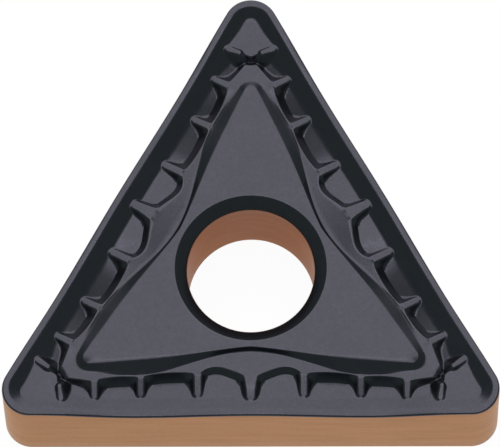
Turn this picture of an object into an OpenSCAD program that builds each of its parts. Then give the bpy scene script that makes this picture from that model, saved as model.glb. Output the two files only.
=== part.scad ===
// Indexable turning insert: one pressed and sintered carbide plate with three noses and a chip former
// Lengths are millimetres. The origin is the centre of the flat seat face, on the axis of the hole,
// with +Z up to the rake face, the front flank towards -Y and one nose towards +Y.
// A place on the rake face is given by s, the way along an edge from its middle, and n, the way
// inwards from that edge. The chip former is a loft of profiles that stand across the edge.

/* [Plate] */
// Diameter of the circle that touches the three flanks
circle_d = 12.7; // [12.65:0.01:12.75]
// Height of the noses above the seat face
plate_t = 4.76; // [4.3:0.01:6.35]
// Radius of the noses
nose_r = 1.12; // [1.1:0.01:1.16]

/* [Clamping hole] */
// Diameter of the hole
hole_d = 5.24; // [5:0.02:5.4]
// Diameter of the countersink where it meets the island
sink_d = 6.24; // [6:0.02:6.3]
// Depth of the countersink
sink_depth = 0.42; // [0.3:0.02:0.5]

/* [Cutting edge] */
// Drop of the edge below the noses at its lowest points
edge_low = 0.44; // [0.2:0.02:0.5]
// Drop of the edge in the middle of a side
edge_mid = 0.17; // [0.1:0.01:0.2]
// Place of the lowest points, as a share of the straight half side
edge_low_at = 0.52; // [0.45:0.01:0.6]
// Width of the land along the edge
land_w = 0.27; // [0.2:0.01:0.3]

/* [Chip groove] */
// Slope of the rake face behind the land, in degrees
rake_angle = 26; // [24:0.5:30]
// Depth of the groove below the edge
groove_depth = 0.33; // [0.25:0.01:0.35]
// Depth of the flat behind each nose
nose_depth = 0.24; // [0.2:0.01:0.26]
// Fall of the bays' floors towards the centre, first for the middle of a side and then further out
floor_fall = [0.1, 0.24]; // [0:0.01:0.26]
// Width of the curved back wall of a bay
wall_w = 0.42; // [0.35:0.01:0.45]

/* [Ribs] */
// Places of the ribs along a half side, the first one in the middle of the side
rib_at = [0, 2.18, 4.53, 6.42]; // [0:0.01:7]
// Outer tips of the ribs, from the edge
rib_tip = [0.68, 0.9, 0.98, 0.8]; // [0.66:0.01:1]
// Inner ends of the ribs, from the edge
rib_root = [1.72, 1.8, 1.74, 1.55]; // [1.5:0.01:1.85]
// Half the width of a rib's top at its tip
rib_half = [0.15, 0.12, 0.11, 0.1]; // [0.08:0.01:0.2]
// How much wider each half of a rib's top is at its root
rib_flare = [0.15, 0, 0, 0.03]; // [0:0.01:0.16]
// Width of a rib's sloping flank
rib_flank = [0.28, 0.17, 0.17, 0.17]; // [0.15:0.01:0.3]
// Drop of a rib's tip below the edge beside it
rib_tip_drop = [0.16, 0.2, 0.2, 0.18]; // [0.14:0.01:0.22]
// How far a rib's top swells over the line from its tip to its root
rib_hump = [0.09, 0.03, 0.03, 0.03]; // [0:0.01:0.1]

/* [Bays] */
// How far each bay arches inwards between its ribs
bay_rise = [0.38, 0.18, 0.13]; // [0.1:0.01:0.4]
// Skew of each arch towards the nose
bay_skew = [1.7, 1, 1]; // [1:0.1:2]
// Fullness of each arch, 1 for a sine and less for a squarer one
bay_full = [1, 0.6, 0.6]; // [0.5:0.1:1]
// Drop of the ledge behind the bays below the edge
ledge_drop = 0.07; // [0.04:0.01:0.1]
// Fall of the ledge towards the island
ledge_fall = 0.19; // [0.1:0.01:0.2]

/* [Nose wings] */
// Place of the wing rib along the half side
wing_at = 7.76; // [7.74:0.01:7.78]
// Outer tip of the wing, from the edge
wing_tip = 0.64; // [0.62:0.01:0.68]
// Half the width of the wing's top at its tip
wing_half = 0.12; // [0.1:0.01:0.13]
// Width of the wing's flank towards the nose
wing_flank = 0.19; // [0.15:0.01:0.2]
// Width of the wing's flank towards the bay
wing_bay_flank = 0.34; // [0.26:0.01:0.36]
// Drops of the wing's top below the edge, at its tip and at its inner end
wing_drops = [0.12, 0.07]; // [0.05:0.01:0.14]

/* [Island] */
// Drop of the island's flat below the noses
island_drop = 0.24; // [0.2:0.01:0.3]
// Drops of the island's foot below the noses: in the middle of a side, at its lowest and at the corners
foot_drops = [0.46, 0.53, 0.42]; // [0.4:0.01:0.56]
// Least distance of the island's foot from the edge
foot_n = 1.86; // [1.85:0.01:1.9]
// How far the foot bows inwards in the middle of a side
foot_bow = 0.98; // [0.93:0.01:1]
// Half the length of that bow
foot_bow_half = 4.8; // [4.5:0.1:5]
// Distance of the island's brim from the edge near its corners
brim_n = 2.3; // [2.28:0.01:2.34]
// Slope of the brim towards the middle of the side
brim_slope = 0.085; // [0.07:0.005:0.09]
// How far the brim bows inwards in the middle of a side
brim_bow = 0.13; // [0.1:0.01:0.14]
// Radius of the island's corners
brim_r = 0.25; // [0.2:0.01:0.28]

/* [Hidden] */
$fn = 96;

// Parts of the triangle
inscribed_r = circle_d / 2;
corner_s = inscribed_r * tan(60);
straight_half = (inscribed_r - nose_r) * tan(60);
nose_arc = nose_r * PI / 3;
half_way = straight_half + nose_arc;
hole_r = hole_d / 2;
island_z = plate_t - island_drop;

// Stations along a half side where the chip former changes
last_rib = 3;
fan_at = rib_at[last_rib] + rib_half[last_rib];
wing_in = wing_at - wing_half - wing_bay_flank;
wing_out = wing_at + wing_half + wing_flank;
floor_change_at = [1.2, 6.2];
floor_change_w = [2, 0.6];
floor_change_back = 0.7;
foot_low_at = 4.6;
foot_ease = 1.5;
brim_from = 6.5;
brim_bow_half = 3.2;
foot_curve = 0.035;
tip_turn = atan(brim_slope);
tip_half_angle = 30 - tip_turn;
tip_s = (corner_s * tan(30) - brim_n - brim_slope * brim_from) / (tan(30) - brim_slope);
tip_back = brim_r / sin(tip_half_angle);
tip_centre = [tip_s - tip_back * cos(30), (corner_s - tip_s) * tan(30) + tip_back * sin(30)];
tip_wall_w = 0.32;
foot_r = brim_r + tip_wall_w;

// Where the wing, the ledge and the nose flat end towards the centre
wing_end = [7.83, 1.38];
wing_end_half = 0.04;
ledge_shoulder = [7.625, 1.717];
ledge_end = [7.725, 1.89];
flat_shoulder = [7.92, 1.5];
flat_end = [7.978, 1.745];
ledge_drops = [0.36, 0.44, 0.47];

// Loft settings: steps in a bay and round a nose, shares of the rows on the wall and on a rib's top
bay_steps = 10;
corner_bay_steps = 5;
nose_steps = 8;
wall_shares = [0.33, 0.66];
wall_hollow = 1.3;
rib_shares = [0.08, 0.3, 0.6, 0.86];
skirt = 0.5;
below = 1;

function mix(a, b, f) = a + (b - a) * f;
function clamp(f) = min(max(f, 0), 1);
function ease(f) = (1 - cos(180 * clamp(f))) / 2;

// Height of the cutting edge, which waves between the noses
function edge_dip(t) =
    let (u = min(t, straight_half) / straight_half)
    u < edge_low_at
        ? mix(edge_mid, edge_low, ease(u / edge_low_at))
        : mix(edge_low, 0, ease((u - edge_low_at) / (1 - edge_low_at)));
function edge_z(t) = plate_t - edge_dip(t);

// A place at distance d inwards from the rounded outline, t along it from the middle of the side
function rim(t, d) =
    t <= straight_half
        ? [t, d]
        : let (turn = (t - straight_half) / nose_r * 180 / PI)
          [straight_half + (nose_r - d) * sin(turn), nose_r - (nose_r - d) * cos(turn)];

// Depth of the groove, shallower on the flat behind the nose
function past_wing(t) = ease((t - wing_at) / (2 * wing_flank));
function depth(t) = mix(groove_depth, nose_depth, past_wing(t));
function slope_z(t, d) = edge_z(t) - clamp((d - land_w) * tan(rake_angle) / depth(t)) * depth(t);
function slope_end(t) = land_w + depth(t) / tan(rake_angle);
function floor_slope(t) =
    let (
        out = ease((t - floor_change_at[0]) / floor_change_w[0]),
        back = floor_change_back * ease((t - floor_change_at[1]) / floor_change_w[1])
    )
    mix(floor_fall[0], floor_fall[1], out - back) * (1 - past_wing(t));
function floor_z(t, way) = edge_z(t) - depth(t) - way * floor_slope(t);

// Line where the bays and ribs meet the ledge
function bay_of(s) = s < rib_at[1] ? 0 : s < rib_at[2] ? 1 : 2;
function bay_share(s) =
    let (i = bay_of(s))
    clamp((s - rib_at[i]) / (rib_at[i + 1] - rib_at[i]));
function bay_arch(s) =
    let (i = bay_of(s))
    bay_rise[i] * pow(max(sin(180 * pow(bay_share(s), bay_skew[i])), 0), bay_full[i]);
function crest_n(s) = mix(rib_root[bay_of(s)], rib_root[bay_of(s) + 1], bay_share(s)) + bay_arch(s);
function crest(t) =
    t <= rib_at[last_rib]
        ? [t, crest_n(t)]
        : [lookup(t, [[rib_at[last_rib], rib_at[last_rib]], [wing_out, ledge_shoulder.x],
                      [half_way, ledge_end.x]]),
           lookup(t, [[rib_at[last_rib], rib_root[last_rib]], [wing_out, ledge_shoulder.y],
                      [half_way, ledge_end.y]])];
function crest_z(t) =
    t <= rib_at[last_rib]
        ? edge_z(t) - ledge_drop - ledge_fall * bay_arch(t)
        : plate_t - lookup(t, [[rib_at[last_rib], ledge_drops[0]], [wing_out, ledge_drops[1]],
                               [half_way, ledge_drops[2]]]);

// Foot and brim of the island, each an arc round the island's corner past the last rib
function tip_arc(t, r) =
    let (a = mix(-90 - tip_turn, -30, (t - fan_at) / (half_way - fan_at)))
    tip_centre + r * [cos(a), sin(a)];
function foot(t) =
    t > fan_at
        ? tip_arc(t, foot_r)
        : [t, foot_n + (t < foot_bow_half
                            ? foot_bow * (1 + cos(180 * t / foot_bow_half)) / 2
                            : foot_curve * pow(t - foot_bow_half, 2))];
function brim(t) =
    t > fan_at
        ? tip_arc(t, brim_r)
        : [t, brim_n + brim_slope * (brim_from - t)
                  + (t < brim_bow_half ? brim_bow * (1 + cos(180 * t / brim_bow_half)) / 2 : 0)];
function foot_z(t) =
    plate_t - (t < foot_low_at
                   ? mix(foot_drops[0], foot_drops[1], ease(pow(t / foot_low_at, foot_ease)))
                   : mix(foot_drops[1], foot_drops[2],
                         ease((t - foot_low_at) / (tip_centre.x - foot_low_at))));

// Line where a bay's floor, the wing or the nose flat ends towards the centre
function wall_foot(t) =
    t < fan_at
        ? [t, crest_n(t) - wall_w]
        : [lookup(t, [[fan_at, fan_at], [wing_in, wing_in], [wing_at, wing_end.x],
                      [wing_out, flat_shoulder.x], [half_way, flat_end.x]]),
           lookup(t, [[fan_at, rib_root[last_rib] - wall_w], [wing_in, wing_end.y - wing_flank],
                      [wing_at, wing_end.y], [wing_out, flat_shoulder.y], [half_way, flat_end.y]])];

// The outer rows of every profile: skirt outside the flank, land and rake slope
function outer_rows(t) = [
    for (d = [-skirt, land_w, (land_w + slope_end(t)) / 2])
        let (p = rim(t, d)) [p.x, p.y, slope_z(t, d)]
];

// The inner rows of every profile: ledge, foot and brim of the island
function inner_rows(t) = [
    let (p = crest(t)) [p.x, p.y, crest_z(t)],
    let (p = foot(t)) [p.x, p.y, foot_z(t)],
    let (p = brim(t)) [p.x, p.y, island_z]
];

// Profile through a bay or the nose flat
function bay_profile(t) =
    let (
        start = rim(t, slope_end(t)),
        end = wall_foot(t),
        top = crest(t),
        low = floor_z(t, norm(end - start)),
        rise = crest_z(t) - low
    )
    concat(
        outer_rows(t),
        [[start.x, start.y, floor_z(t, 0)]],
        [let (p = (start + end) / 2) [p.x, p.y, floor_z(t, norm(p - start))]],
        [[end.x, end.y, low]],
        [for (f = wall_shares) let (p = mix(end, top, f)) [p.x, p.y, low + pow(f, wall_hollow) * rise]],
        inner_rows(t)
    );

// Profile along the top of a rib; side is -1 or 1 for the edge of its top
function rib_profile(i, side) =
    let (t = rib_at[i] + side * rib_half[i])
    concat(
        outer_rows(t),
        [[t, rib_tip[i], slope_z(t, rib_tip[i])]],
        [
            for (f = rib_shares)
                let (drop = mix(rib_tip_drop[i], ledge_drop, f) - rib_hump[i] * sin(180 * f))
                [t + side * rib_flare[i] * f * f, mix(rib_tip[i], rib_root[i], f), edge_z(t) - drop]
        ],
        inner_rows(t)
    );

// Profile along the top of a wing
function wing_profile(side) =
    let (
        t = wing_at + side * wing_half,
        outer = [t, wing_tip + wing_half],
        inner = wing_end + [side * wing_end_half, 0],
        top = crest(t)
    )
    concat(
        outer_rows(t),
        [[t, wing_tip, slope_z(t, wing_tip)]],
        [
            for (f = [0, 0.5, 1])
                let (p = mix(outer, inner, f), drop = mix(wing_drops[0], wing_drops[1], f))
                [p.x, p.y, edge_z(t) - drop]
        ],
        [let (p = mix(inner, top, 0.5)) [p.x, p.y, crest_z(t)]],
        inner_rows(t)
    );

// Stations of the plain profiles from just past t0 to just before t1
function between(t0, t1, steps) = [for (j = [1 : steps - 1]) mix(t0, t1, j / steps)];
function rib_edge(i, side) = rib_at[i] + side * (rib_half[i] + rib_flank[i]);

// All profiles of a half side, from the middle of the side to the middle of the nose
half_profiles = concat(
    [rib_profile(0, 1), bay_profile(rib_edge(0, 1))],
    [
        for (i = [0 : last_rib - 1]) each concat(
            [for (t = between(rib_edge(i, 1), rib_edge(i + 1, -1), bay_steps)) bay_profile(t)],
            [bay_profile(rib_edge(i + 1, -1)), rib_profile(i + 1, -1)],
            [rib_profile(i + 1, 1), bay_profile(rib_edge(i + 1, 1))]
        )
    ],
    [for (t = between(rib_edge(last_rib, 1), wing_in, corner_bay_steps)) bay_profile(t)],
    [bay_profile(wing_in), wing_profile(-1), wing_profile(1), bay_profile(wing_out)],
    [for (t = between(wing_out, straight_half, 3)) bay_profile(t)],
    [for (j = [0 : nose_steps]) bay_profile(straight_half + nose_arc * j / nose_steps)]
);
half_count = len(half_profiles);
row_count = len(half_profiles[0]);

// The ring of profiles round the plate, each half side mirrored and each side turned by 120 degrees
function mirrored(profile) = [for (p = profile) [-p.x, p.y, p.z]];
function placed(profile, turn) = [
    for (p = profile)
        let (out = [cos(turn), sin(turn)], along = [-sin(turn), cos(turn)])
        let (q = out * (inscribed_r - p.y) + along * p.x) [q.x, q.y, p.z]
];
side_ring = concat(
    [for (j = [half_count - 1 : -1 : 0]) mirrored(half_profiles[j])],
    [for (j = [0 : half_count - 2]) half_profiles[j]]
);
ring = [for (k = [0 : 2]) for (profile = side_ring) placed(profile, -90 + 120 * k)];
ring_count = len(ring);

// Solid under the chip former, wider than the plate, with a low skirt all round
module formed_blank() {
    skirt_row = [for (profile = ring) [profile[0].x, profile[0].y, -below]];
    points = concat([for (profile = ring) each profile], skirt_row, [[0, 0, island_z], [0, 0, -below]]);
    first_skirt = ring_count * row_count;
    top_centre = first_skirt + ring_count;
    function at(i, r) = (i % ring_count) * row_count + r;
    function low(i) = first_skirt + i % ring_count;
    // The diagonals lean towards the middle of each side, so that both halves are alike
    function lean(i) = i % len(side_ring) < half_count;
    function quad(a, b, c, d, leaning) = leaning ? [[a, b, c], [a, c, d]] : [[a, b, d], [b, c, d]];
    faces = concat(
        [for (i = [0 : ring_count - 1]) for (r = [0 : row_count - 2])
            each quad(at(i, r), at(i, r + 1), at(i + 1, r + 1), at(i + 1, r), lean(i))],
        [for (i = [0 : ring_count - 1]) each quad(low(i), at(i, 0), at(i + 1, 0), low(i + 1), true)],
        [for (i = [0 : ring_count - 1]) [at(i, row_count - 1), top_centre, at(i + 1, row_count - 1)]],
        [for (i = [0 : ring_count - 1]) [low(i), low(i + 1), top_centre + 1]]
    );
    polyhedron(points, faces, convexity = 6);
}

// Rounded triangle with upright flanks
module plate_outline() {
    corners = [for (k = [0 : 2]) -30 + 120 * k];
    polygon([
        for (a = corners)
            for (side = [-60, 60])
                (circle_d - 2 * nose_r) * [cos(a), sin(a)] + nose_r * [cos(a + side), sin(a + side)]
    ]);
    for (a = corners)
        translate((circle_d - 2 * nose_r) * [cos(a), sin(a)])
            circle(r = nose_r);
}

// Round hole with a countersink in the island
module clamping_hole() {
    translate([0, 0, -below])
        cylinder(r = hole_r, h = plate_t + 2 * below);
    translate([0, 0, island_z - sink_depth])
        cylinder(r1 = hole_r, r2 = sink_d / 2, h = sink_depth);
    translate([0, 0, island_z])
        cylinder(d = sink_d, h = below);
}

module insert_body() {
    color("dimgray")
        difference() {
            intersection() {
                linear_extrude(plate_t + below)
                    plate_outline();
                formed_blank();
            }
            clamping_hole();
        }
}

insert_body();
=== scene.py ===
"""Looks of a triangular turning insert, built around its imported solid.

The insert is one closed mesh: a pressed rake face with its chip former, flanks, seat and clamping hole.
The mesh is a grid whose rows are closed rings round the axis. Lengths are millimetres in the solid's own
frame until the mesh is made. A place on the rake face is given by s, the way along an edge from its
middle, and n, the way inwards from that edge. One half side is worked out, and then mirrored and turned
round the plate.
"""

import math
from collections import namedtuple

import bpy
import numpy as np
from mathutils import Matrix, Vector


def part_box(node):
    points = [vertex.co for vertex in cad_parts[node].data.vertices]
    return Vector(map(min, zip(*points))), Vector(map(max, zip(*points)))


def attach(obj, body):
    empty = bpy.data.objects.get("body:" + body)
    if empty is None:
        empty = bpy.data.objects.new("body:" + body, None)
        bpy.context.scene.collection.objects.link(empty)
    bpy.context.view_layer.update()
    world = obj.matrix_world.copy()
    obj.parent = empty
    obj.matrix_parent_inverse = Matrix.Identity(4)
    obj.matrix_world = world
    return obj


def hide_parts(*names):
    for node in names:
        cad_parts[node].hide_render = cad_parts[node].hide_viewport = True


MM = 0.001
NODE = "insert_body"

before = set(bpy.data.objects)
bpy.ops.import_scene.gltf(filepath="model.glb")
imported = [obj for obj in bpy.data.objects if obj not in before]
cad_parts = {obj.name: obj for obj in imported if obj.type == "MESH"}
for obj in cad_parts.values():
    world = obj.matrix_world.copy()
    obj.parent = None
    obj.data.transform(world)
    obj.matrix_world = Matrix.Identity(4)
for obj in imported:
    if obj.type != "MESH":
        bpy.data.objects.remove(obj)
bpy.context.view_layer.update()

# Plate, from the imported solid
node_low, node_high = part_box(NODE)
root3 = math.sqrt(3)
plate_t = node_high[2] / MM
inscribed_r = -node_low[1] / MM
nose_r = (root3 * inscribed_r - node_high[0] / MM) / (root3 - 1)
corner_s = inscribed_r * root3
straight_half = (inscribed_r - nose_r) * root3
half_way = straight_half + nose_r * math.pi / 3

# Clamping hole, its countersink, and the plain width kept beside their roundings
hole_r = 2.62
sink_r = 3.12
sink_depth = 0.42
sink_round = 0.06
bore_round = 0.16
plain_w = 0.1

# Cutting edge: its drops below the noses at its lowest place and in the middle of the side, and where that
# lowest place is, as a share of the straight half side. Then the land, and the edge's and seat's roundings.
edge_low = 0.44
edge_mid = 0.17
edge_low_at = 0.52
land_w = 0.27
hone_r = 0.1
seat_round = 0.04

# Ribs from the middle of the side outwards: place along the side, outer tip and inner root as distances
# from the edge, half the width of the top and what it gains towards the root, slope of the flanks, drop of
# the tip below the edge, and swell of the top over the line from tip to root
Rib = namedtuple("Rib", "at tip root half flare flank tip_drop hump")
RIBS = [
    Rib(0.0, 0.66, 1.72, 0.175, 0.11, 1.35, 0.2, 0.04),
    Rib(2.17, 0.88, 1.8, 0.15, 0.0, 1.45, 0.29, 0.0),
    Rib(4.51, 0.93, 1.74, 0.135, 0.0, 1.45, 0.3, 0.0),
    Rib(6.4, 0.79, 1.55, 0.125, 0.02, 1.45, 0.25, 0.0),
]
last_rib = RIBS[-1]
past_root_fall = 0.5

# Past this place along the side the grid's columns fan out round the island's corner
fan_at = last_rib.at + last_rib.half

# Bays between the ribs: how far each one arches inwards, the arch's skew towards the nose, and its
# fullness, which is 1 for a sine and less for a squarer arch
Bay = namedtuple("Bay", "rise skew full")
BAYS = [Bay(0.38, 1.7, 1.0), Bay(0.18, 1.0, 0.6), Bay(0.13, 1.0, 0.6)]

# Chip groove. Its floor falls towards the centre, least in the middle bays, and sinks further in the corner
# bays. Each ramp is given by where it starts along the side and how wide it is.
rake_slope = math.tan(math.radians(26))
groove_depth = 0.33
floor_fall = (0.02, 0.26)
outer_ramp = (1.2, 2.0)
corner_ramp = (6.2, 0.6)
corner_cut = 0.08
corner_sink = 0.05
sink_ramp = (last_rib.at + 0.1, 1.1)

# Back walls of the bays: widths in the middle bays, further out and in the corner bays, the radius of the
# corners where their feet meet the ribs, and their least height
wall_ws = (0.27, 0.35, 0.2)
outer_wall_ramp = (RIBS[1].at - 0.3, 0.6)
corner_wall_ramp = (fan_at, 0.8)
wall_round = 0.2
least_rise = 0.1

# Ledge behind the bays: its drop below the edge, its fall with the bays' arches, and the slope at which the
# limit on the walls' height rises outwards from its rim
ledge_drop = 0.07
ledge_fall = 0.19
ledge_rise = 1.5

# Ledge round the island's corner: the ends of its outer rim, its drops below the noses at those ends and
# behind the nose, and the distance from the axis that it reaches
ledge_a = np.array([6.4, 1.55])
ledge_b = np.array([7.625, 1.717])
ledge_drops = (0.36, 0.44, 0.47)
ledge_end_ramp = (ledge_b[0], 0.1)
ledge_r = 8.89
ledge_r_round = 0.1
least_ledge_w = 0.02

# Flat behind each nose, which falls towards the centre, and the step at its bowed inner rim. The radii are
# distances from the axis. The ramp is where the corner bay turns into the flat, measured from the wing's
# middle line towards the nose.
nose_depth = 0.24
nose_high_r = 10.9
nose_fall = 0.03
nose_ramp = (-0.12, 0.2)
flat_r = 9.2
flat_bow = 1.3
flat_bow_most = 0.08
flat_fall = 0.75

# Wing rib beside each nose, from its outer to its inner end, with its slopes towards the bay and the nose
wing_outer = np.array([7.76, 0.8])
wing_inner = np.array([7.82, 1.28])
wing_half = (0.125, 0.085)
wing_drops = (0.15, 0.07)
wing_slopes = (1.2, 1.3)
wing_slope_ramp = (-0.05, 0.1)

# Island: its flat, and its foot. The foot's drops below the noses are those in the middle of a side, at its
# lowest place and at the corner. Its line bows inwards in the middle of the side, and curves inwards again
# past that bow. Outside the foot the wall goes on down more steeply, except at the corner.
island_drop = 0.24
island_z = plate_t - island_drop
foot_drops = (0.46, 0.53, 0.42)
foot_low_at = 4.6
foot_bend = 1.5
foot_n = 1.86
foot_bow = 0.98
foot_bow_half = 4.8
foot_curve = 0.035
under_foot_steep = 8
under_foot_ramp = (fan_at, 0.6)

# Brim, which is the rim of the island's flat. It is at brim_n where s is brim_from, and slopes inwards from
# there to the middle of the side, where it bows inwards too.
brim_n = 2.3
brim_slope = 0.085
brim_from = 6.5
brim_bow = 0.13
brim_bow_half = 3.2

# Rounded corner of the island, where brim and foot turn round one centre
brim_r = 0.25
corner_wall_w = 0.32
foot_r = brim_r + corner_wall_w
tip_turn = math.atan(brim_slope)
tip_s = (corner_s / root3 - brim_n - brim_slope * brim_from) / (1 / root3 - brim_slope)
tip_back = brim_r / math.sin(math.radians(30) - tip_turn)
tip_centre = np.array([tip_s - tip_back * root3 / 2, (corner_s - tip_s) / root3 + tip_back / 2])

# Roundings between the surfaces
knee = 0.02
fillet = 0.035
rib_fillet = 0.02
crisp = 0.015

# Columns of the grid: their widths across the ribs and in the bays, the widest gap that counts as part of a
# rib, how far a rib's flank reaches, and extra columns about the wing's place
fine_step = 0.046
wide_step = 0.085
fine_gap = 0.36
flank_reach = 0.17
wing_columns = (-0.35, -0.1, 0.1, 0.3)

# Rows of the grid in the bands of the rake face: land, rake slope, floor, back wall, ledge, island's wall
# and island's flat. Then the rows of the other parts.
BAND_ROWS = (4, 13, 11, 12, 7, 8, 7)
hone_steps = 3
profile_arc_steps = 4
seat_rows = 4
seat_round_rows = 3
flank_rows = 5

# Lines that rows follow past the last rib, as column t, s and n: foot of the back wall, and rim of the
# ledge. The ramp is where the foot of the rake slope goes over from the groove to the flat behind the nose.
WALL_GUIDE = [
    (fan_at, fan_at, 1.13),
    (7.47, 7.47, 1.24),
    (7.85, 7.85, 1.42),
    (7.92, 7.92, 1.5),
    (half_way, 7.978, 1.745),
]
LEDGE_GUIDE = [
    (ledge_a[0], ledge_a[0], ledge_a[1]),
    (8.03, ledge_b[0], ledge_b[1]),
    (half_way, 7.725, 1.89),
]
slope_guide_ramp = (wing_outer[0], 0.36)

# The dark coating covers the countersink down to this height above the foot of its cone
dark_above = 0.03

# Curvature per millimetre from which a ridge starts to take the painted highlight, and what more gives it
# the whole painted highlight
highlight_from = 1
highlight_span = 8

# Colours of the coatings: the tones that noise mixes, the tints at glancing angles, and the painted
# highlights on sharp ridges
RAKE_TONES = ((0.101, 0.096, 0.12, 1), (0.11, 0.104, 0.13, 1))
RAKE_MOTTLE = (0.085, 0.081, 0.102, 1)
RAKE_GRAIN = (0.078, 0.074, 0.094, 1)
# Painted highlight: a lighter colour laid on the rake face's sharp ridges
RAKE_PAINTED_HIGHLIGHT = (0.17, 0.162, 0.19, 1)
FLANK_TONES = ((0.34, 0.18, 0.104, 1), (0.39, 0.212, 0.124, 1))
FLANK_GLANCE = (0.9, 0.72, 0.58, 1)
BORE_TONES = ((0.225, 0.15, 0.13, 1), (0.262, 0.176, 0.15, 1))
BORE_GLANCE = (0.74, 0.45, 0.33, 1)
# Painted highlight on the bronze ridges: its colour, and the share of it that the sharpest ridges take
BRONZE_PAINTED_HIGHLIGHT = (0.6, 0.42, 0.28, 1)
bronze_highlight_share = 0.3

# Floor, room and lights, with lengths in metres
FLOOR_TONES = ((0.8, 0.8, 0.8, 1), (0.83, 0.83, 0.83, 1))
ROOM = (0.125, 0.17, 0.155, 1)
WHITE = (1, 1, 1, 1)
floor_half = 1.5
floor_z = -0.01 * MM
floor_glow = 1.12
floor_glow_share = 0.85
softbox_distance = 0.5

# Camera that fits the photograph: the picture's size, the place where the camera's axis meets it and the
# focal length in pixels, and where the camera stands
PHOTO_SIZE = (500, 447)
AXIS_PIXEL = (251.64, 300.13)
FOCAL_PIXELS = 8226.4
view_azimuth = math.radians(1.564)
view_elevation = math.radians(72.898)
view_roll = math.radians(-1.622)
view_distance = 342.14


def mix(a, b, f):
    return a + (b - a) * f


def ease(f):
    return (1 - np.cos(np.pi * np.clip(f, 0, 1))) / 2


def ramp(x, start, width):
    """A smooth rise from 0 at the start to 1 at the end of its width."""
    return ease((x - start) / width)


def soft_max(a, b, r):
    """The larger of two heights, with a fillet of size r where they cross."""
    near = np.maximum(r - np.abs(a - b), 0) / r
    return np.maximum(a, b) + near * near * r / 4


def soft_min(a, b, r):
    """The smaller of two heights, with a rounding of size r where they cross."""
    return -soft_max(-a, -b, r)


def corner_rise(a, b, r, whole):
    """The larger of two rises, with a round corner at their foot that ends at the whole rise."""
    larger = np.maximum(a, b)
    extra = np.where((a > -r) & (b > -r), np.hypot(a + r, b + r) - r - larger, 0)
    return larger + extra * np.clip(1 - larger / whole, 0, 1)


def edge_dip(t):
    """Drop of the wavy cutting edge below the noses."""
    u = np.minimum(t, straight_half) / straight_half
    inner = mix(edge_mid, edge_low, ease(u / edge_low_at))
    outer = mix(edge_low, 0, ramp(u, edge_low_at, 1 - edge_low_at))
    return np.where(u < edge_low_at, inner, outer)


def rim(t, d):
    """Place at distance d inwards from the rounded outline, t along it from the middle of the side."""
    turn = np.maximum(t - straight_half, 0) / nose_r
    s = np.minimum(t, straight_half) + (nose_r - d) * np.sin(turn)
    return s, nose_r - (nose_r - d) * np.cos(turn)


def rim_place(s, n):
    """The t and d of a place: how far along the outline, and how far inwards from it."""
    beyond, up = s - straight_half, nose_r - n
    round_nose = (beyond > 0) & (up > 0)
    t = np.where(round_nose, straight_half + nose_r * np.arctan2(beyond, up), s)
    d = np.where(round_nose, nose_r - np.hypot(beyond, up), n)
    return t, d


def bay_arch(s):
    """How far the bays arch inwards from the line through the ribs' roots."""
    arch = np.zeros_like(s)
    for bay, rib, next_rib in zip(BAYS, RIBS, RIBS[1:]):
        f = np.clip((s - rib.at) / (next_rib.at - rib.at), 0, 1)
        arch += bay.rise * np.maximum(np.sin(np.pi * f**bay.skew), 0) ** bay.full
    return arch


def crest_n(s):
    """The line where the bays meet the ledge, an arch from each rib's root to the next."""
    places = [rib.at for rib in RIBS]
    roots = [rib.root for rib in RIBS]
    past = ledge_a[1] + (s - ledge_a[0]) * (ledge_b[1] - ledge_a[1]) / (ledge_b[0] - ledge_a[0])
    return np.where(s < ledge_a[0], np.interp(s, places, roots), past) + bay_arch(s)


def wall_width(s):
    """Width of the wall at the back of the bays."""
    inner = mix(wall_ws[0], wall_ws[1], ramp(s, *outer_wall_ramp))
    return mix(inner, wall_ws[2], ramp(s, *corner_wall_ramp))


def foot_line(s):
    """The island's foot along a side."""
    bow = foot_bow * (1 + np.cos(np.pi * np.minimum(s / foot_bow_half, 1))) / 2
    return foot_n + bow + foot_curve * np.maximum(s - foot_bow_half, 0) ** 2


def foot_z(s):
    """Height of the island's foot, lowest a good way from the middle of the side."""
    inner = mix(foot_drops[0], foot_drops[1], ease((s / foot_low_at) ** foot_bend))
    outer = mix(foot_drops[1], foot_drops[2], ramp(s, foot_low_at, tip_centre[0] - foot_low_at))
    return plate_t - np.where(s < foot_low_at, inner, outer)


def brim_line(s):
    """The rim of the island's flat along a side."""
    bow = brim_bow * (1 + np.cos(np.pi * np.minimum(s / brim_bow_half, 1))) / 2
    return brim_n + brim_slope * (brim_from - s) + bow


def tip_arc(t, r):
    """Place on an arc of radius r round the island's corner."""
    a = mix(-math.pi / 2 - tip_turn, -math.pi / 6, (t - fan_at) / (half_way - fan_at))
    return tip_centre[0] + r * np.cos(a), tip_centre[1] + r * np.sin(a)


def island_place(s, n):
    """Distance outside the island's foot, and the width of the wall there."""
    ds, dn = s - tip_centre[0], n - tip_centre[1]
    past_turn = ds * math.cos(tip_turn) - dn * math.sin(tip_turn) > 0
    outside = np.where(past_turn, np.hypot(ds, dn) - foot_r, foot_line(s) - n)
    width = np.where(past_turn, foot_r - brim_r, brim_line(s) - foot_line(s))
    return outside, width


def nose_place(s, n):
    """Distance from the axis along the line through the nose, and the way across from that line."""
    return s * root3 / 2 + (inscribed_r - n) / 2, s / 2 - (inscribed_r - n) * root3 / 2


def wing_place(s, n):
    """Distance from the wing's middle line, the share along it, and the way past it towards the nose."""
    way = wing_inner - wing_outer
    ds, dn = s - wing_outer[0], n - wing_outer[1]
    f = np.clip((ds * way[0] + dn * way[1]) / (way @ way), 0, 1)
    return np.hypot(ds - f * way[0], dn - f * way[1]), f, ds - dn * way[0] / way[1]


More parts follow.
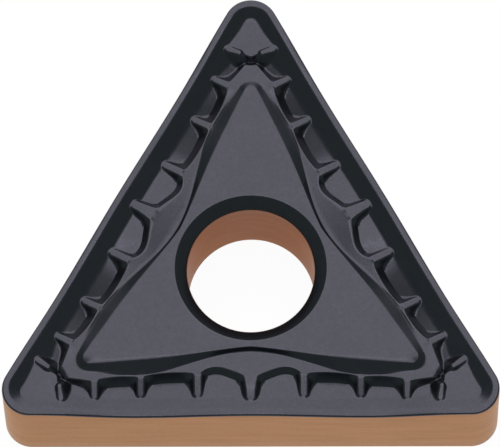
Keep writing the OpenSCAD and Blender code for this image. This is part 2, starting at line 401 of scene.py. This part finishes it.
def groove_floor(s, n, edge, at_nose):
    """Height of the land, the rake slope and the floor behind it, which is the flat at a nose."""
    _, d = rim_place(s, n)
    r, _ = nose_place(s, n)
    depth = mix(groove_depth, nose_depth, at_nose)
    fall = mix(*floor_fall, ramp(s, *outer_ramp) - corner_cut * ramp(s, *corner_ramp)) * (1 - at_nose)
    level = edge - depth - np.maximum(d - land_w - depth / rake_slope, 0) * fall
    nose_level = plate_t - nose_depth - nose_fall * np.maximum(nose_high_r - r, 0)
    level = mix(level - corner_sink * ramp(s, *sink_ramp), nose_level, at_nose)
    return soft_max(edge - soft_max((d - land_w) * rake_slope, 0, knee), level, knee)


def ledge_heights(s, n, edge):
    """Height of the ledge and of its rim nearby, and how far inwards from that rim the place is."""
    r, _ = nose_place(s, n)
    inward = n - crest_n(s)
    inward = np.where(s > ledge_a[0], soft_min(inward, ledge_r - r, ledge_r_round), inward)
    along = np.clip((s - ledge_a[0]) / (ledge_b[0] - ledge_a[0]), 0, 1)
    corner_drop = mix(ledge_drops[0], ledge_drops[1], along)
    corner_drop = mix(corner_drop, ledge_drops[2], ramp(s, *ledge_end_ramp))
    side_crest = edge - ledge_drop - ledge_fall * bay_arch(s)
    crest = np.where(s < ledge_a[0], side_crest, plate_t - corner_drop)
    outside, _ = island_place(s, n)
    share = np.clip(inward / np.maximum(inward + outside, least_ledge_w), -1, 1)
    ledge = np.where(outside > 0, mix(crest, foot_z(s), share), foot_z(s))
    return ledge, crest, inward


def island_height(s, n):
    """Height of the island's flat and wall. Outside its foot the wall goes on down more steeply."""
    outside, width = island_place(s, n)
    foot = foot_z(s)
    steep = np.where(outside > 0, mix(under_foot_steep, 1, ramp(s, *under_foot_ramp)), 1)
    wall = foot - outside / width * (island_z - foot) * steep
    return soft_min(wall, island_z, crisp)


def rib_heights(s, n, rib):
    """Height of a rib's top, which falls to a round tip in the groove, and the height with its flanks."""
    edge = plate_t - edge_dip(rib.at)
    f = np.clip((n - rib.tip) / (rib.root - rib.tip), 0, 1)
    gap = np.hypot(s - rib.at, np.maximum(rib.tip + rib.half - n, 0)) - rib.half - rib.flare * f**2
    fall = mix(rib.tip_drop, ledge_drop, f) - rib.hump * np.sin(np.pi * f)
    top = edge - (fall + np.maximum(n - rib.root, 0) * past_root_fall)
    return top, top - rib.flank * soft_max(gap, 0, crisp)


def surface_z(s, n):
    """Height of the pressed rake face."""
    t, _ = rim_place(s, n)
    r, across = nose_place(s, n)
    wing_gap, wing_share, beside_wing = wing_place(s, n)
    edge = plate_t - edge_dip(t)
    at_nose = ramp(beside_wing, *nose_ramp)
    floor = groove_floor(s, n, edge, at_nose)
    ledge, crest, inward = ledge_heights(s, n, edge)

    # Bays with a sloping back wall
    whole = np.maximum(crest - floor, least_rise)
    rise = whole * (1 + inward / wall_width(s))
    highest = ledge + np.maximum(-inward, 0) * ledge_rise
    bay = soft_min(floor + np.maximum(rise, 0), highest, crisp)

    # Step from the flat behind the nose down to the ledge
    step_r = flat_r + np.minimum(flat_bow * across**2, flat_bow_most)
    step = floor - np.maximum(step_r - r, 0) * flat_fall
    nose = soft_max(soft_min(floor, step, crisp), ledge, fillet)

    # Island, ribs and wing
    z = soft_max(mix(bay, nose, at_nose), island_height(s, n), fillet)
    for rib in RIBS:
        top, height = rib_heights(s, n, rib)
        most = np.where(n > rib.root, highest, np.minimum(top, highest))
        corner = np.minimum(floor + corner_rise(rise, height - floor, wall_round, whole), most)
        z = soft_max(np.maximum(z, corner), height, rib_fillet)
    wing_top = plate_t - edge_dip(wing_outer[0]) - mix(*wing_drops, wing_share)
    slope = mix(*wing_slopes, ramp(beside_wing, *wing_slope_ramp))
    wing = wing_top - slope * soft_max(wing_gap - mix(*wing_half, wing_share), 0, crisp)
    return soft_max(z, wing, fillet)


def stations():
    """Places t of the grid's columns on a half side: close together across the ribs, wider in the bays."""
    marks = [straight_half, half_way]
    for rib in RIBS:
        reach = rib.half + rib.flare + flank_reach
        marks += [rib.at - reach, rib.at - rib.half, rib.at + rib.half, rib.at + reach]
    marks += [wing_outer[0] + way for way in wing_columns]
    marks = [0.0] + sorted(mark for mark in marks if mark > 0)
    t = []
    for a, b in zip(marks, marks[1:]):
        step = fine_step if b - a < fine_gap else wide_step
        t += list(np.linspace(a, b, math.ceil((b - a) / step), endpoint=False))
    return np.array(t + [half_way])


def follow(guide, t):
    """Places on a guide line for the columns t, as (s, n)."""
    at, s, n = zip(*guide)
    return np.interp(t, at, s), np.interp(t, at, n)


def choose(here, a, b):
    """The places a where here is true, and b elsewhere."""
    return np.where(here, a[0], b[0]), np.where(here, a[1], b[1])


def guide_lines(t, spin, inner_r):
    """The lines that the rows of the rake face follow, from the honed edge to the countersink, as (s, n)."""
    depth = mix(groove_depth, nose_depth, ramp(t, *slope_guide_ramp))
    past_ribs = t > fan_at
    past_side = t > ledge_a[0]
    return [
        rim(t, hone_r),
        rim(t, land_w),
        rim(t, land_w + depth / rake_slope),
        choose(past_ribs, follow(WALL_GUIDE, t), (t, crest_n(t) - wall_width(t))),
        choose(past_side, follow(LEDGE_GUIDE, t), (t, crest_n(t))),
        choose(past_ribs, tip_arc(t, foot_r), (t, foot_line(t))),
        choose(past_ribs, tip_arc(t, brim_r), (t, brim_line(t))),
        round_line(spin, inner_r),
    ]


def round_line(spin, r):
    """A circle of radius r round the axis, as (s, n)."""
    return r * np.sin(spin), inscribed_r - r * np.cos(spin)


def rounded(points, radii, steps):
    """Points of a profile whose corners are rounded by arcs. The first and last point stay."""
    points = [np.array(p) for p in points]
    out = [points[0]]
    for a, b, c, r in zip(points, points[1:], points[2:], radii):
        u = (a - b) / np.linalg.norm(a - b)
        v = (c - b) / np.linalg.norm(c - b)
        half = math.acos(u @ v) / 2
        centre = b + (u + v) / np.linalg.norm(u + v) * r / math.sin(half)
        start = b + u * r / math.tan(half) - centre
        end = b + v * r / math.tan(half) - centre
        for j in range(steps + 1):
            way = mix(start, end, j / steps)
            out.append(centre + way / np.linalg.norm(way) * r)
    return out + [points[-1]]


def half_rows():
    """Rows (s, n, z) of the whole surface on a half side, the rows at which the dark face and the hole end,
    and the row along the foot of the bays' back walls. The rows run from the honed edge over the rake face,
    down the hole, out along the seat and up the flank."""
    t = stations()
    spin = np.arange(len(t)) / (len(t) - 1) * math.pi / 3
    edge = plate_t - edge_dip(t)

    def hone(j):
        turn = math.pi / 4 * j / hone_steps
        return *rim(t, hone_r * (1 - math.cos(turn))), edge - hone_r * (1 - math.sin(turn))

    rows = [hone(j) for j in range(1, 2 * hone_steps)]
    wall_top = island_z - sink_depth
    sink = [(sink_r + plain_w, island_z), (sink_r, island_z), (hole_r, wall_top)]
    wall = [(hole_r, 0), (hole_r + plain_w, 0)]
    profile = rounded(sink + wall, (sink_round, bore_round, seat_round), profile_arc_steps)
    lines = guide_lines(t, spin, profile[0][0])
    crease = len(rows) + sum(BAND_ROWS[:3])
    for a, b, count in zip(lines, lines[1:], BAND_ROWS):
        for f in np.arange(count) / count:
            s, n = mix(a[0], b[0], f), mix(a[1], b[1], f)
            rows.append((s, n, surface_z(s, n)))
    dark = len(rows)
    for a, b in zip(profile, profile[1:]):
        parts = max(1, round(np.linalg.norm(b - a)))
        for f in np.arange(parts) / parts:
            r, z = mix(a, b, f)
            rows.append((*round_line(spin, r), np.full_like(t, z)))
            dark += z > wall_top + dark_above
    bored = len(rows)
    inner = round_line(spin, hole_r + plain_w)
    outer = rim(t, seat_round)
    for f in np.arange(seat_rows) / seat_rows:
        rows.append((mix(inner[0], outer[0], f), mix(inner[1], outer[1], f), np.zeros_like(t)))
    for turn in np.arange(seat_round_rows) / seat_round_rows * math.pi / 2:
        low = np.full_like(t, seat_round * (1 - math.cos(turn)))
        rows.append((*rim(t, seat_round * (1 - math.sin(turn))), low))
    for f in np.arange(flank_rows) / flank_rows:
        rows.append((*rim(t, 0.0), mix(seat_round, edge - hone_r, f)))
    rows.append(hone(0))
    return np.array(rows), dark, bored, crease


def insert_mesh():
    """The insert's closed mesh: material 0 is the dark rake face, 1 seat and flanks and 2 the hole."""
    half, dark, bored, crease = half_rows()
    mirrored = half[:, :, :0:-1] * np.array([-1, 1, 1])[None, :, None]
    side = np.concatenate([mirrored, half[:, :, :-1]], axis=2)
    s, n, z = side[:, 0], side[:, 1], side[:, 2]
    ring = []
    for k in range(3):
        turn = math.radians(-90 + 120 * k)
        out = (math.cos(turn), math.sin(turn))
        along = (-math.sin(turn), math.cos(turn))
        x = out[0] * (inscribed_r - n) + along[0] * s
        y = out[1] * (inscribed_r - n) + along[1] * s
        ring.append(np.stack([x, y, z], axis=-1))
    grid = np.concatenate(ring, axis=1) * MM
    rows, columns = grid.shape[:2]
    r, c = np.meshgrid(np.arange(rows), np.arange(columns), indexing="ij")
    r2, c2 = (r + 1) % rows, (c + 1) % columns
    faces = np.stack([r * columns + c, r * columns + c2, r2 * columns + c2, r2 * columns + c], axis=-1)
    mesh = bpy.data.meshes.new("insert_visual")
    mesh.from_pydata(grid.reshape(-1, 3).tolist(), [], faces.reshape(-1, 4).tolist())
    slots = np.where(r < dark, 0, np.where(r < bored, 2, 1))
    mesh.polygons.foreach_set("material_index", slots.ravel().astype(np.int32))
    mesh.shade_smooth()
    ends = np.empty(len(mesh.edges) * 2, dtype=np.int32)
    mesh.edges.foreach_get("vertices", ends)
    on_crease = (ends.reshape(-1, 2) // columns == crease).all(axis=1)
    mesh.attributes.new("sharp_edge", "BOOLEAN", "EDGE").data.foreach_set("value", on_crease)
    mesh.update()
    return mesh


def mark_ridges(mesh):
    """Stores how sharply each vertex sticks out, from 0 to 1, as the attribute that the painted highlight on
    ridges follows.
    """
    count = len(mesh.vertices)
    place = np.empty(count * 3)
    normal = np.empty(count * 3)
    ends = np.empty(len(mesh.edges) * 2, dtype=np.int64)
    mesh.vertices.foreach_get("co", place)
    mesh.vertex_normals.foreach_get("vector", normal)
    mesh.edges.foreach_get("vertices", ends)
    place = place.reshape(-1, 3)
    normal = normal.reshape(-1, 3)
    ends = ends.reshape(-1, 2)
    way = place[ends[:, 1]] - place[ends[:, 0]]
    square = (way * way).sum(axis=1)
    bend = np.zeros(count)
    weight = np.zeros(count)
    for end, sign in ((0, -1), (1, 1)):
        out = (way * normal[ends[:, end]]).sum(axis=1) * sign
        np.add.at(bend, ends[:, end], out / square)
        np.add.at(weight, ends[:, end], 1.0)
    curvature = bend / weight * MM

    # Each vertex takes half of the mean of its neighbours
    total = np.zeros(count)
    for a, b in ((0, 1), (1, 0)):
        np.add.at(total, ends[:, a], curvature[ends[:, b]])
    curvature = (curvature + total / weight) / 2
    # Mask of the painted highlight: 0 on gentle surfaces, 1 on the sharpest ridges
    highlight_mask = np.clip((curvature - highlight_from) / highlight_span, 0, 1)
    mesh.attributes.new("ridge", "FLOAT", "POINT").data.foreach_set("value", highlight_mask.astype(np.float32))


class Nodes:
    """Short ways to add and link shader nodes in one tree."""

    def __init__(self, tree):
        self.tree = tree
        tree.nodes.clear()

    def put(self, socket, value):
        """Links another node's output to a socket, or sets the socket to a constant."""
        if isinstance(value, bpy.types.NodeSocket):
            self.tree.links.new(value, socket)
        else:
            socket.default_value = value

    def add(self, kind, inputs=None, **settings):
        node = self.tree.nodes.new(kind)
        for name, value in settings.items():
            setattr(node, name, value)
        for name, value in (inputs or {}).items():
            self.put(node.inputs[name], value)
        return node

    def noise(self, where, scale, detail=2.0):
        made = self.add("ShaderNodeTexNoise", {"Vector": where, "Scale": scale, "Detail": detail})
        return made.outputs["Fac"]

    def spread(self, noise, to_low, to_high, low=0.3, high=0.7):
        """Spreads the values that a noise mostly takes, from low to high, over another range."""
        inputs = {"Value": noise, "From Min": low, "From Max": high, "To Min": to_low, "To Max": to_high}
        return self.add("ShaderNodeMapRange", inputs).outputs["Result"]

    def math(self, operation, a, b):
        return self.add("ShaderNodeMath", {0: a, 1: b}, operation=operation).outputs["Value"]

    def blend(self, factor, a, b):
        """A mix of two colours. The node has sockets of the same name for other data, which are off."""
        inputs = {"Factor": factor, "A": a, "B": b}
        made = self.add("ShaderNodeMix", data_type="RGBA")
        for socket in made.inputs:
            if socket.enabled and socket.name in inputs:
                self.put(socket, inputs[socket.name])
        return next(out for out in made.outputs if out.enabled)

    def ridge(self):
        """How far a place sticks out, as mark_ridges stored it."""
        return self.add("ShaderNodeAttribute", attribute_name="ridge").outputs["Fac"]

    def millimetres(self):
        """The object's own coordinates in millimetres."""
        place = self.add("ShaderNodeTexCoord").outputs["Object"]
        scaled = self.add("ShaderNodeVectorMath", {0: place, "Scale": 1 / MM}, operation="SCALE")
        return scaled.outputs["Vector"]

    def surface(self, inputs, grain, bump_strength, bump_height):
        """Adds the surface with a fine bump that follows the grain, its height in millimetres."""
        heights = {"Height": grain, "Strength": bump_strength, "Distance": bump_height * MM}
        bump = self.add("ShaderNodeBump", heights).outputs["Normal"]
        shader = self.add("ShaderNodeBsdfPrincipled", {**inputs, "Normal": bump})
        self.add("ShaderNodeOutputMaterial", {"Surface": shader.outputs["BSDF"]})


def new_material(name):
    material = bpy.data.materials.new(name)
    material.use_nodes = True
    return material, Nodes(material.node_tree)


def rake_coating():
    """Dark violet-grey coating with a satin sheen, a fine sintered grain, and a painted highlight that
    lightens its sharp ridges.
    """
    material, nodes = new_material("rake_coating")
    where = nodes.millimetres()
    grain = nodes.noise(where, scale=14.0, detail=3.0)
    mottle = nodes.noise(where, scale=4.0)
    cloud = nodes.noise(where, scale=0.8)
    # Painted highlight on the sharp ridges, broken up by the grain
    highlight_mask = nodes.math("MULTIPLY", nodes.ridge(), nodes.spread(grain, 0.5, 1.0))
    plain = nodes.blend(nodes.spread(cloud, 0, 1, low=0.35, high=0.65), *RAKE_TONES)
    plain = nodes.blend(nodes.spread(mottle, 0, 0.5), plain, RAKE_MOTTLE)
    plain = nodes.blend(nodes.spread(grain, 0, 0.7), plain, RAKE_GRAIN)
    inputs = {
        "Base Color": nodes.blend(highlight_mask, plain, RAKE_PAINTED_HIGHLIGHT),
        "Metallic": 0.9,
        "Roughness": nodes.spread(grain, 0.2, 0.26),
    }
    nodes.surface(inputs, grain, bump_strength=0.25, bump_height=0.004)
    return material


def bronze_coating(name, tones, glance):
    """Satin bronze coating with level streaks between two tones, a tint at glancing angles, and a painted
    highlight that lightens its sharp ridges.
    """
    material, nodes = new_material(name)
    where = nodes.millimetres()
    grain = nodes.noise(where, scale=16.0, detail=3.0)
    stretch = nodes.add("ShaderNodeMapping", {"Vector": where, "Scale": (0.35, 0.35, 2.5)})
    streak = nodes.noise(stretch.outputs["Vector"], scale=1.2)
    plain = nodes.blend(nodes.spread(streak, 0, 1), *tones)
    # Painted highlight on the sharp ridges, at a share of its full strength
    highlight_mask = nodes.math("MULTIPLY", nodes.ridge(), bronze_highlight_share)
    inputs = {
        "Base Color": nodes.blend(highlight_mask, plain, BRONZE_PAINTED_HIGHLIGHT),
        "Metallic": 1.0,
        "Specular Tint": glance,
        "Roughness": nodes.spread(grain, 0.3, 0.38),
    }
    nodes.surface(inputs, grain, bump_strength=0.2, bump_height=0.003)
    return material


def make_insert():
    mesh = insert_mesh()
    mark_ridges(mesh)
    mesh.materials.append(rake_coating())
    mesh.materials.append(bronze_coating("flank_coating", FLANK_TONES, FLANK_GLANCE))
    mesh.materials.append(bronze_coating("bore_coating", BORE_TONES, BORE_GLANCE))
    made = bpy.data.objects.new("insert_visual", mesh)
    bpy.context.collection.objects.link(made)
    return made


def seen_directly(nodes):
    """1 for rays from the camera and off polished or through clear surfaces, and 0 for the light itself."""
    path = nodes.add("ShaderNodeLightPath")
    seen = nodes.math("MAXIMUM", path.outputs["Is Camera Ray"], path.outputs["Is Glossy Ray"])
    return nodes.math("MAXIMUM", seen, path.outputs["Is Transmission Ray"])


def make_floor():
    """Pale floor that shows as near white and keeps the insert's soft shadow."""
    signs = ((-1, -1), (1, -1), (1, 1), (-1, 1))
    corners = [(x * floor_half, y * floor_half, floor_z) for x, y in signs]
    mesh = bpy.data.meshes.new("floor")
    mesh.from_pydata(corners, [], [(0, 1, 2, 3)])
    material, nodes = new_material("floor_paint")
    cloud = nodes.noise(nodes.millimetres(), scale=0.02)
    paint = nodes.blend(nodes.spread(cloud, 0, 1, low=0.4, high=0.6), *FLOOR_TONES)
    diffuse = nodes.add("ShaderNodeBsdfDiffuse", {"Color": paint})
    glow = nodes.add("ShaderNodeEmission", {"Strength": floor_glow})
    share = nodes.math("MULTIPLY", seen_directly(nodes), floor_glow_share)
    both = nodes.add("ShaderNodeMixShader", {0: share, 1: diffuse.outputs[0], 2: glow.outputs[0]})
    nodes.add("ShaderNodeOutputMaterial", {"Surface": both.outputs[0]})
    mesh.materials.append(material)
    made = bpy.data.objects.new("floor", mesh)
    bpy.context.collection.objects.link(made)
    return made


def make_world():
    """A dim, cool studio room, white where the camera sees it."""
    world = bpy.data.worlds.new("studio")
    world.use_nodes = True
    bpy.context.scene.world = world
    nodes = Nodes(world.node_tree)
    seen = nodes.add("ShaderNodeLightPath").outputs["Is Camera Ray"]
    background = nodes.add("ShaderNodeBackground", {"Color": nodes.blend(seen, ROOM, WHITE)})
    nodes.add("ShaderNodeOutputWorld", {"Surface": background.outputs[0]})


def make_softbox(name, elevation, half_x, half_y):
    """An oval softbox with a radiance of about 1. Its elevation and half its angles are in degrees."""
    up = math.radians(elevation)
    lamp = bpy.data.lights.new(name, "AREA")
    lamp.shape = "ELLIPSE"
    lamp.size = 2 * softbox_distance * math.tan(math.radians(half_x))
    lamp.size_y = 2 * softbox_distance * math.tan(math.radians(half_y))
    area = lamp.size * lamp.size_y * math.pi / 4
    lamp.energy = math.pi * area
    softbox = bpy.data.objects.new(name, lamp)
    softbox.location = (0, softbox_distance * math.cos(up), softbox_distance * math.sin(up))
    softbox.rotation_euler.x = up - math.pi / 2
    softbox.visible_camera = False
    bpy.context.collection.objects.link(softbox)


def make_camera():
    """The camera turns a little from the fitted axis, so that it aims at the picture's middle."""
    flat = math.cos(view_elevation)
    back = Vector((math.sin(view_azimuth) * flat, -math.cos(view_azimuth) * flat, math.sin(view_elevation)))
    level = Vector((math.cos(view_azimuth), math.sin(view_azimuth), 0))
    turn = Matrix.Rotation(view_roll, 3, back)
    right = turn @ level
    up = turn @ back.cross(level)
    aside = (PHOTO_SIZE[0] / 2 - AXIS_PIXEL[0]) / FOCAL_PIXELS
    above = (AXIS_PIXEL[1] - PHOTO_SIZE[1] / 2) / FOCAL_PIXELS
    backward = (back - right * aside - up * above).normalized()
    right = (right - backward * right.dot(backward)).normalized()
    data = bpy.data.cameras.new("camera")
    data.sensor_width = 36
    data.lens = FOCAL_PIXELS / PHOTO_SIZE[0] * data.sensor_width
    data.clip_start = 0.01
    camera = bpy.data.objects.new("camera", data)
    place = Matrix((right, backward.cross(right), backward)).transposed().to_4x4()
    place.translation = back * view_distance * MM
    camera.matrix_world = place
    bpy.context.collection.objects.link(camera)
    bpy.context.scene.camera = camera


make_camera()
make_world()
make_softbox("softbox", elevation=51, half_x=34, half_y=38)
make_softbox("top_softbox", elevation=96, half_x=16, half_y=12)
make_floor()
insert = make_insert()
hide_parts(NODE)
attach(insert, "root")
bpy.context.scene.view_settings.view_transform = "Standard"
